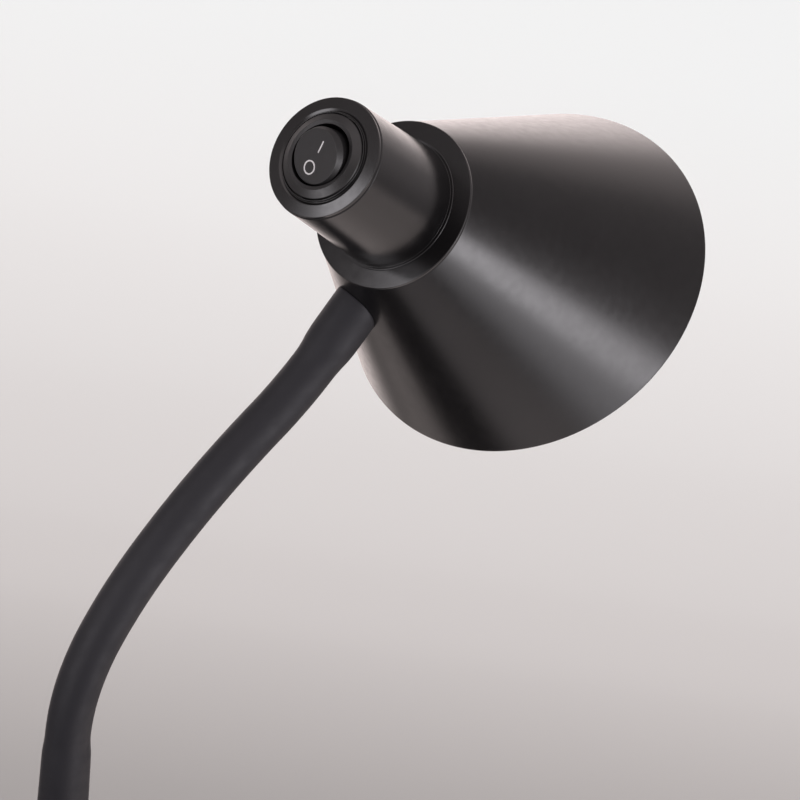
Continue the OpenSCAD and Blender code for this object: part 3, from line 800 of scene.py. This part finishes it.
rows.append([bm.verts.new(put(ROCK, (0, 0, 2.6)))])
for A_, B_ in zip(rows, rows[1:]):
    for k in range(SEG_R):
        k2 = (k + 1) % SEG_R
        if len(A_) == 1:
            bm.faces.new((A_[0], B_[k], B_[k2]))
        elif len(B_) == 1:
            bm.faces.new((A_[k], A_[k2], B_[0]))
        else:
            bm.faces.new((A_[k], A_[k2], B_[k2], B_[k]))
axle = ROCK @ Matrix.Rotation(math.radians(-90), 4, "X")
lathe_bm(bm, corners([(0, -8.6), (1.15, -8.6, .2), (1.15, 8.6, .2), (0, 8.6)], closed=False, n=4), axle, 32, closed=False)
lathe_bm(bm, corners([(1.35, 6.4, .2), (1.35, 2.3), (2.4, 2.3), (2.4, 6.4, .2)], n=4), ROCK, 48)
rk = finish_mesh("rocker_button", bm, "rocker", 40.0)
dress(rk, "rocker_plastic", "rocker")

# the two printed marks, raised by the thickness of the ink
bm = bmesh.new()


def stroke_ring(cx, cy, rx, ry, w, seg=72):
    rows = []
    for (dr, dz) in ((-w / 2, 0.0), (-w / 2 + 0.03, -0.035), (w / 2 - 0.03, -0.035), (w / 2, 0.0)):
        row = []
        for k in range(seg):
            a = 2 * math.pi * k / seg
            px = cx + (rx + dr) * math.cos(a)
            row.append(bm.verts.new(put(ROCK, (px, cy + (ry + dr) * math.sin(a), face_z(px) + 0.005 + dz))))
        rows.append(row)
    for i in range(4):
        A_, B_ = rows[i], rows[(i + 1) % 4]
        for k in range(seg):
            k2 = (k + 1) % seg
            bm.faces.new((A_[k], A_[k2], B_[k2], B_[k]))


def stroke_bar(cx, cy, dx, dy, length, w):
    """A bar with square ends, its top edges drawn in by the ink's rounding."""
    d = Vector((dx, dy)).normalized()
    n_ = Vector((-d.y, d.x))
    rows = []
    for e, z in ((0.0, 0.005), (0.03, -0.03)):
        outline = []
        for sx_, sy_ in ((1, 1), (-1, 1), (-1, -1), (1, -1)):
            for j in range(4):
                a = math.radians(90) * j / 3
                if (sx_, sy_) == (-1, 1):
                    a += math.radians(90)
                elif (sx_, sy_) == (-1, -1):
                    a += math.radians(180)
                elif (sx_, sy_) == (1, -1):
                    a += math.radians(270)
                outline.append(d * (sx_ * (length / 2 - 0.08) + (0.08 - e) * math.cos(a)) + n_ * (sy_ * (w / 2 - 0.08) + (0.08 - e) * math.sin(a)))
        rows.append([bm.verts.new(put(ROCK, (cx + u.x, cy + u.y, face_z(cx + u.x) + z))) for u in outline])
    lo, hi = rows
    k = len(lo)
    for i in range(k):
        j = (i + 1) % k
        bm.faces.new((lo[i], lo[j], hi[j], hi[i]))
    bm.faces.new(hi)
    bm.faces.new(lo[::-1])


stroke_ring(3.55, 0.20, 1.67, 1.67, 0.42)
stroke_bar(-2.55, -0.40, 1.0, 0.018, 3.3, 0.42)
mk = finish_mesh("rocker_marks", bm, "rocker", 60.0)
mk.data.materials.append(M_MARK)

# ------------------------------------------------------------------ inside the shade
bm = bmesh.new()
for i, s in enumerate(stud):
    hex_nut(bm, s @ Matrix.Translation(Vector((0, 0, SEAT_L + 1)) * MM), 3.17, 1.5, 2.4, turn=0.3 * i)
dress(finish_mesh("stud_nuts", bm, "head", 30.0), "plated_steel", "flange_nuts")

bm = bmesh.new()
hex_nut(bm, fit @ Matrix.Translation(Vector((0, 0, 20)) * MM), 8.08, 5.0, 3.6)
dress(finish_mesh("neck_lock_nut", bm, "head", 30.0), "plated_steel", "neck_nut")

dress(lathe("holder_sleeve", corners([
    (10.2, 36.2), (12.4, 36.2, .3), (12.4, 39.2, .15), (12.05, 39.5, .15), (12.05, 52.0, .3), (12.4, 52.4, .2), (12.4, 54, .5), (8.2, 54, .5), (8.2, 52.5, .2), (10.2, 52.5, .2)], n=5),
    HEAD, "head", 120), "phenolic", "lampholder_skirt")

ribs = 36


def collar_warp(p):
    x, y, z = p
    r = math.hypot(x, y)
    a = math.atan2(y, x)
    if 56.5 < z < 67.0 and r > 7.7:
        k = 0.5 + 0.5 * math.cos(a * ribs)
        f = 1 - 0.028 * (1 - k) * min(1.0, (z - 56.5) / 1.5, (67.0 - z) / 1.5)
        x, y = x * f, y * f
    return (x, y, z)


prof_collar = [(10.6, 67.6)] + [(10.6, 66.0), (10.2, 66.0), (6.0, 57.0), (4.0, 57.0), (4.0, 49.0), (6.55, 49.0), (6.55, 54.9), (7.5, 55.0)]
for j in range(0, 21):
    t = j / 20
    prof_collar.append((7.7 + (13.0 - 7.7) * (t ** 0.92), 55.3 + 12.9 * t))
prof_collar += [(13.05, 68.5), (13.0, 68.85), (12.8, 69.0), (10.9, 69.0)]
bm = bmesh.new()
lathe_bm(bm, prof_collar, HEAD, 216, warp=collar_warp)
dress(finish_mesh("bulb_body", bm, "bulb", 35.0), "bulb_white", "bulb_collar")

cut_z = 69.05
RG = 20.0
a0 = math.acos((85 - cut_z) / RG)
prof_globe = []
for j in range(0, 65):
    a = a0 + (math.pi - a0) * j / 64
    prof_globe.append((max(0.0, RG * math.sin(a)) if j < 64 else 0.0, 85 - RG * math.cos(a)))
for j in range(64, -1, -1):
    RI = RG - 1.2
    ai = math.acos((85 - cut_z) / RI)
    a = ai + (math.pi - ai) * j / 64
    prof_globe.append((RI * math.sin(a) if j < 64 else 0.0, 85 - RI * math.cos(a)))
bm = bmesh.new()
half = len(prof_globe) // 2
o_rows = lathe_bm(bm, prof_globe[:half], HEAD, 128, closed=False)
i_rows = lathe_bm(bm, prof_globe[half:], HEAD, 128, closed=False)
A_, B_ = o_rows[0], i_rows[-1]
for k in range(128):
    k2 = (k + 1) % 128
    bm.faces.new((A_[k], A_[k2], B_[k2], B_[k]))
dress(finish_mesh("bulb_glass", bm, "bulb", 50.0), "opal", "bulb_globe")

# ------------------------------------------------------------------ floor, light, camera
def floor_plane():
    bm = bmesh.new()
    n, s = 24, 6.0
    vs = [[bm.verts.new((-s / 2 + s * i / n, -s / 2 + s * j / n, 0)) for j in range(n + 1)] for i in range(n + 1)]
    for i in range(n):
        for j in range(n):
            bm.faces.new((vs[i][j], vs[i + 1][j], vs[i + 1][j + 1], vs[i][j + 1]))
    me = bpy.data.meshes.new("floor")
    bm.to_mesh(me)
    bm.free()
    ob = bpy.data.objects.new("floor", me)
    col.objects.link(ob)
    return ob


floor = floor_plane()
# The floor's colour carries a painted light falloff. It is darker towards the lamp and the near side and paler towards
# the far side, along (0.72, 0.69), with a slight change of tint.
m, nt, b = new_mat("floor_painted_falloff")
c = obj_coords(nt)
sep = nt.nodes.new("ShaderNodeVectorMath")
sep.operation = "DOT_PRODUCT"
link(nt, c, sep.inputs[0])
sep.inputs[1].default_value = (0.72, 0.69, 0)
n1 = noise(nt, 3, 2, 0.5, c)
fr = nt.nodes.new("ShaderNodeValToRGB")
cr = fr.color_ramp
cr.interpolation = "CARDINAL"
# stops of the painted falloff: (position along the floor, tone), from dark near the lamp to pale far away
painted_falloff_stops = [(0.10, 0.34), (0.22, 0.41), (0.31, 0.585), (0.37, 0.67), (0.47, 0.76), (0.60, 0.87), (0.78, 0.94), (1.10, 0.94)]
while len(cr.elements) < len(painted_falloff_stops):
    cr.elements.new(0.5)
for e, (v, a) in zip(cr.elements, painted_falloff_stops):
    w = min(1.0, max(0.0, (0.8 - v) / 0.55))
    e.position = v - 0.1
    e.color = (a * (0.94 + 0.07 * w), a * (1.02 - 0.005 * w), a * (1.0 - 0.02 * w), 1)
link(nt, ranged(nt, sep.outputs["Value"], 0.1, 1.1, 0.0, 1.0), fr.inputs["Fac"])
link(nt, fr.outputs["Color"], b.inputs["Base Color"])
b.inputs["Roughness"].default_value = 0.85
b.inputs["Specular IOR Level"].default_value = 0.1
link(nt, bump(nt, n1.outputs["Fac"], 1e-4), b.inputs["Normal"])
floor.data.materials.append(m)
floor.visible_glossy = False

world = bpy.data.worlds.new("studio")
scene.world = world
world.use_nodes = True
wt = world.node_tree
bg = wt.nodes["Background"]
tc = wt.nodes.new("ShaderNodeTexCoord")
DIRN = tc.outputs["Generated"]
sx = wt.nodes.new("ShaderNodeSeparateXYZ")
wt.links.new(DIRN, sx.inputs[0])
wr = wt.nodes.new("ShaderNodeValToRGB")
wt.links.new(ranged(wt, sx.outputs["Z"], -1.0, 1.0, 0.0, 1.0), wr.inputs["Fac"])
cr = wr.color_ramp
cr.interpolation = "EASE"


def el_pos(el):
    return (math.sin(math.radians(el)) + 1) / 2


TINT = (1.08, 0.978, 0.99)
COOL = (1.02, 0.985, 1.03)
WARM = (1.12, 0.975, 0.94)
stops = [(-80, 0.12), (-60, 0.08), (-40, 0.09), (-20, 0.37), (0, 0.65), (25, 0.38), (50, 0.55), (66, 1.2), (90, 1.27)]
while len(cr.elements) < len(stops):
    cr.elements.new(0.5)
for e, (el, v) in zip(cr.elements, stops):
    e.position = el_pos(el)
    e.color = (v * TINT[0], v * TINT[1], v * TINT[2], 1)
total = wr.outputs["Color"]


def lobe(az, el, inner, outer, value, tint=TINT):
    """Soft round patch of light in the surroundings: full inside, none outside."""
    global total
    a, e = math.radians(az), math.radians(el)
    d = (math.cos(e) * math.cos(a), math.cos(e) * math.sin(a), math.sin(e))
    dot = wt.nodes.new("ShaderNodeVectorMath")
    dot.operation = "DOT_PRODUCT"
    wt.links.new(DIRN, dot.inputs[0])
    dot.inputs[1].default_value = d
    r = wt.nodes.new("ShaderNodeMapRange")
    r.interpolation_type = "SMOOTHSTEP"
    r.inputs["From Min"].default_value = math.cos(math.radians(outer))
    r.inputs["From Max"].default_value = math.cos(math.radians(inner))
    wt.links.new(dot.outputs["Value"], r.inputs["Value"])
    mx = wt.nodes.new("ShaderNodeMix")
    mx.data_type = "RGBA"
    mx.blend_type = "ADD"
    mx.clamp_result = False
    wt.links.new(r.outputs["Result"], mx.inputs["Factor"])
    wt.links.new(total, mx.inputs["A"])
    mx.inputs["B"].default_value = (value * tint[0], value * tint[1], value * tint[2], 1)
    total = mx.outputs["Result"]


def math_node(op, a, b=None, clamp=False):
    n = wt.nodes.new("ShaderNodeMath")
    n.operation = op
    n.use_clamp = clamp
    for sock, v in zip(n.inputs, (a, b)):
        if isinstance(v, (int, float)):
            sock.default_value = v
        elif v is not None:
            wt.links.new(v, sock)
    return n.outputs[0]


def smooth(src, lo, hi):
    r = wt.nodes.new("ShaderNodeMapRange")
    r.interpolation_type = "SMOOTHSTEP"
    r.inputs["From Min"].default_value = lo
    r.inputs["From Max"].default_value = hi
    wt.links.new(src, r.inputs["Value"])
    return r.outputs["Result"]


def strip(az, inner, outer, e0, e1, soft, value, tint=TINT):
    """Standing strip light at azimuth az, from elevation e0 to e1, with soft edges."""
    global total
    a = math.radians(az)
    dots = []
    for d in ((-math.sin(a), math.cos(a), 0), (math.cos(a), math.sin(a), 0)):
        n = wt.nodes.new("ShaderNodeVectorMath")
        n.operation = "DOT_PRODUCT"
        wt.links.new(DIRN, n.inputs[0])
        n.inputs[1].default_value = d
        dots.append(n.outputs["Value"])
    side = math_node("SUBTRACT", 1.0, math_node("ABSOLUTE", dots[0]))
    u = smooth(side, 1 - math.sin(math.radians(outer)), 1 - math.sin(math.radians(inner)))
    front = math_node("GREATER_THAN", dots[1], 0.0)
    z = sx.outputs["Z"]
    lo = smooth(z, math.sin(math.radians(e0 - soft)), math.sin(math.radians(e0)))
    hi = math_node("SUBTRACT", 1.0, smooth(z, math.sin(math.radians(e1)), math.sin(math.radians(e1 + soft))))
    fac = math_node("MULTIPLY", math_node("MULTIPLY", u, front), math_node("MULTIPLY", lo, hi))
    mx = wt.nodes.new("ShaderNodeMix")
    mx.data_type = "RGBA"
    mx.blend_type = "ADD"
    mx.clamp_result = False
    wt.links.new(fac, mx.inputs["Factor"])
    wt.links.new(total, mx.inputs["A"])
    mx.inputs["B"].default_value = (value * tint[0], value * tint[1], value * tint[2], 1)
    total = mx.outputs["Result"]


strip(-85, 4, 17, -36, 14, 15, 2.3, COOL)
lobe(-82, -1, 1, 17, 5.5, COOL)
lobe(-88, 23, 7, 28, 2.5, COOL)
lobe(52, -20, 12, 45, 1.4, WARM)
lobe(16, 5, 6, 26, 0.4, WARM)
lobe(78, -57, 3, 16, -0.25, WARM)
lobe(-53, -57, 27, 38, 0.8, WARM)
lobe(-114, -55, 12, 22, 0.5)
lobe(112, -68, 6, 20, 0.5, WARM)
lobe(153.5, 30, 5, 9.5, 6.2, COOL)
lobe(146.5, 21, 2, 6.0, 1.2, COOL)
lobe(131, 27, 6, 16, -0.36)
lobe(180, 2, 8, 20, 4.5, COOL)
wt.links.new(total, bg.inputs["Color"])
bg.inputs["Strength"].default_value = 1.0

scene.view_settings.view_transform = "Standard"
scene.view_settings.look = "None"
scene.view_settings.exposure = 0.0
scene.view_settings.gamma = 1.0

cam = bpy.data.cameras.new("camera")
cam.lens = 135.0
cam.sensor_width = 36.0
cam.sensor_fit = "HORIZONTAL"
cam.clip_start = 0.01
cam.clip_end = 50.0
cam.dof.use_dof = False
co = bpy.data.objects.new("camera", cam)
col.objects.link(co)
X = Vector((0.7506, -0.6497, 0.1204)).normalized()
Z = -Vector((0.5748, 0.5521, -0.6040)).normalized()
Y = Z.cross(X).normalized()
X = Y.cross(Z).normalized()
co.matrix_world = Matrix((
    (X.x, Y.x, Z.x, -0.37061), (X.y, Y.y, Z.y, -0.46049), (X.z, Y.z, Z.z, 0.80903), (0, 0, 0, 1)))
scene.camera = co
